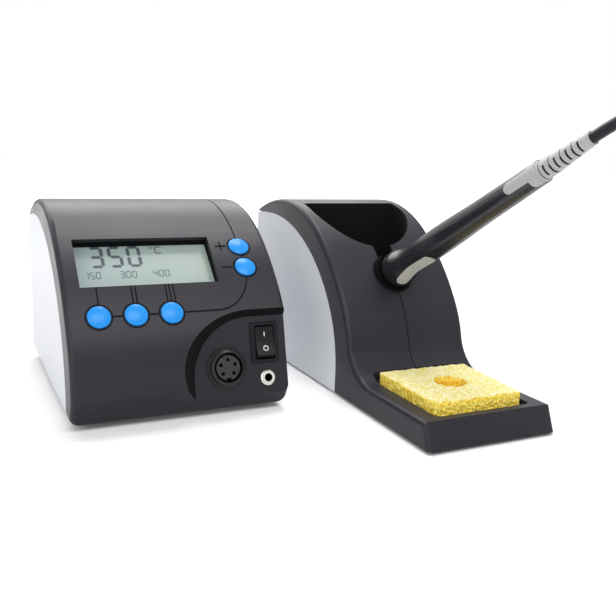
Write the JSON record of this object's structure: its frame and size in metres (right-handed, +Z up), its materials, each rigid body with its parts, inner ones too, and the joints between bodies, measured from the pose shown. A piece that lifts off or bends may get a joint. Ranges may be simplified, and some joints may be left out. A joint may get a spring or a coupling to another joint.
{
  "type": "soldering station",
  "caption": "Soldering station: control unit with display, keys, switch and socket, beside a stand with keyhole cavity, sponge tray and a corded iron in its seat.",
  "frame": {"origin": "on the bench under the middle of the set without its lead", "axes": "+X to the right seen from the front, +Y to the back, +Z up"},
  "size_m": [0.255, 0.3628, 0.1565],
  "materials": {
    "black_plastic": "matte",
    "board_green": "solder resist",
    "brass_tin": "tinned",
    "button_blue": "satin translucent blue",
    "case_dark": "fine matte moulded texture",
    "ceramic_white": "fired",
    "chip_black": "moulded",
    "cord_black": "satin",
    "core_iron": "lacquered laminations",
    "display_pale": "clear over a pale green reflector",
    "grip_light": "fine grain",
    "guide_dark": "heat resistant moulding",
    "handle_dark": "satin",
    "insert_ivory": "moulded",
    "light_guide": "frosted",
    "nickel": "nickel plated",
    "panel_light": "smooth light grey moulding",
    "relief_grey": "smooth",
    "rocker_black": "satin",
    "rubber_black": "matte rubber",
    "socket_grey": "moulded",
    "sponge_yellow": "open cellulose pores",
    "steel": "bright steel",
    "tact_grey": "moulded",
    "winding": "yellow winding tape"
  },
  "bodies": {
    "station": {"base_plate": "black_plastic", "case_screws": "steel", "control_board": "board_green", "controller_chip": "chip_black", "display_backlight": "light_guide", "display_frame": "black_plastic", "display_glass": "display_pale", "front_shell": "case_dark", "fuse_cap": "black_plastic", "fuse_holder": "black_plastic", "ground_jack": "nickel", "guide_ring": "guide_dark", "holder_feet": "rubber_black", "holder_left_panel": "panel_light", "holder_right_panel": "panel_light", "holder_screws": "steel", "holder_shell": "case_dark", "holder_weight": "steel", "inlet_pins": "nickel", "jack_nut": "nickel", "key_switches": "tact_grey", "lead_coil": "cord_black", "lead_free": "cord_black", "lead_tie": "black_plastic", "left_side_panel": "panel_light", "mains_inlet": "black_plastic", "pan_screws": "steel", "plug_grip": "black_plastic", "plug_insert": "insert_ivory", "plug_pins": "nickel", "plug_ring": "nickel", "plug_shell": "nickel", "preset_board": "board_green", "rear_panel": "black_plastic", "right_side_panel": "panel_light", "socket_body": "socket_grey", "socket_contacts": "brass_tin", "socket_insert": "insert_ivory", "socket_nut": "nickel", "switch_frame": "rocker_black", "switch_terminals": "brass_tin", "transformer_core": "core_iron", "transformer_strap": "steel", "transformer_winding": "winding", "triac": "chip_black", "unit_feet": "rubber_black"},
    "iron": {"handle": "handle_dark", "grip_inlay": "grip_light", "rear_collar": "relief_grey", "strain_relief": "relief_grey", "element_tube": "steel", "heating_element": "ceramic_white", "soldering_tip": "steel"},
    "sponge": {"sponge": "sponge_yellow"},
    "preset_button_1": {"preset_button_1": "button_blue"},
    "preset_button_2": {"preset_button_2": "button_blue"},
    "preset_button_3": {"preset_button_3": "button_blue"},
    "plus_button": {"plus_button": "button_blue"},
    "minus_button": {"minus_button": "button_blue"},
    "rocker": {"switch_rocker": "rocker_black"}
  },
  "joints": [
    {"name": "iron_lift", "type": "slide", "parent": "station", "child": "iron", "axis": [0, -0.8746, 0.4848], "range_m": [0, 0.09], "deforming": ["lead_free"]},
    {"name": "sponge_lift", "type": "slide", "parent": "station", "child": "sponge", "axis": [0, 0, 1], "range_m": [0, 0.03]},
    {"name": "preset_button_1_press", "type": "slide", "parent": "station", "child": "preset_button_1", "axis": [0, 0.8239, -0.5668], "range_m": [0, 0.0008], "stiffness_N_per_m": 1500},
    {"name": "preset_button_2_press", "type": "slide", "parent": "station", "child": "preset_button_2", "axis": [0, 0.8239, -0.5668], "range_m": [0, 0.0008], "stiffness_N_per_m": 1500},
    {"name": "preset_button_3_press", "type": "slide", "parent": "station", "child": "preset_button_3", "axis": [0, 0.8239, -0.5668], "range_m": [0, 0.0008], "stiffness_N_per_m": 1500},
    {"name": "plus_button_press", "type": "slide", "parent": "station", "child": "plus_button", "axis": [0, 0.6253, -0.7804], "range_m": [0, 0.0008], "stiffness_N_per_m": 1500},
    {"name": "minus_button_press", "type": "slide", "parent": "station", "child": "minus_button", "axis": [0, 0.7057, -0.7085], "range_m": [0, 0.0008], "stiffness_N_per_m": 1500},
    {"name": "rocker_tilt", "type": "hinge", "parent": "station", "child": "rocker", "pos_m": [-0.0114, -0.0044, 0.03519], "axis": [1, 0, 0], "range_deg": [0, 18]}
  ]
}
